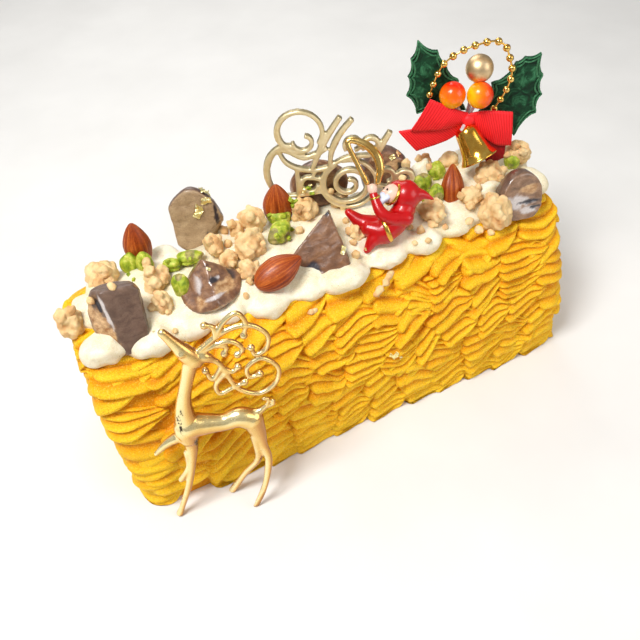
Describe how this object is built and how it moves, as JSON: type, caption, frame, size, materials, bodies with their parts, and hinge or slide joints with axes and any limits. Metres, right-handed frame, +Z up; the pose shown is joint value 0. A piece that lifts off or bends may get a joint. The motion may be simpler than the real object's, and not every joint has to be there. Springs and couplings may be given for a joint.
{
  "type": "yule log cake",
  "caption": "Uncut log cake covered in piped yellow cream, topped with pale cream, nuts, crumble and holiday picks, with a moulded deer leaning on its front.",
  "frame": {"origin": "middle of the log's flat base", "axes": "+X along the log to its right end as seen from the front, -Y towards the front side with the deer, +Z up"},
  "size_m": [0.2148, 0.1058, 0.1357],
  "materials": {
    "piped_cream": "soft matte yellow pumpkin or sweet potato cream, fine brown specks",
    "pale_cream": "soft off-white cream with tiny specks",
    "chestnut": "candied chestnut, syrupy gloss on greyish brown",
    "almond": "ribbed brown skin, light gloss",
    "pistachio": "broken green kernels with yellow flesh",
    "crumble": "rough baked crumble",
    "gold": "bright metallised gold plastic",
    "champagne_gold": "satin champagne gold",
    "red_plastic": "glossy red paint with pale face and gold trim",
    "velvet": "crushed dark green velvet with a piped edge",
    "ribbon": "red ribbed grosgrain ribbon",
    "berry": "orange berries shading to red and yellow",
    "wire": "white wrapped stem"
  },
  "bodies": {
    "root": {"piped_log": "piped_cream", "cream_band": "pale_cream", "chestnut_1": "chestnut", "chestnut_2": "chestnut", "chestnut_3": "chestnut", "chestnut_4": "chestnut", "chestnut_5": "chestnut", "chestnut_6": "chestnut", "chestnut_7": "chestnut", "almond_1": "almond", "almond_2": "almond", "almond_3": "almond", "almond_4": "almond", "pistachio_1": "pistachio", "pistachio_2": "pistachio", "pistachio_3": "pistachio", "pistachio_4": "pistachio", "pistachio_5": "pistachio", "pistachio_6": "pistachio", "pistachio_7": "pistachio", "pistachio_8": "pistachio", "pistachio_9": "pistachio", "pistachio_10": "pistachio", "pistachio_11": "pistachio", "crumble_1": "crumble", "crumble_2": "crumble", "crumble_3": "crumble", "crumble_4": "crumble", "crumble_5": "crumble", "crumble_6": "crumble", "crumble_7": "crumble", "crumble_8": "crumble", "crumble_9": "crumble", "crumble_10": "crumble", "crumble_11": "crumble", "crumble_12": "crumble", "crumble_13": "crumble", "crumble_14": "crumble", "crumble_15": "crumble", "crumble_16": "crumble", "crumble_17": "crumble", "crumble_18": "crumble", "crumble_19": "crumble", "crumble_20": "crumble", "deer": "gold", "scroll_pick": "champagne_gold", "figurine": "red_plastic", "figurine_hoop": "gold", "holly_stem": "wire", "matte_ball": "champagne_gold", "berry_left": "berry", "berry_right": "berry", "bead_chain": "gold", "ribbon_bow": "ribbon", "bell": "gold", "holly_leaf_left": "velvet", "holly_leaf_right": "velvet"}
  },
  "joints": []
}
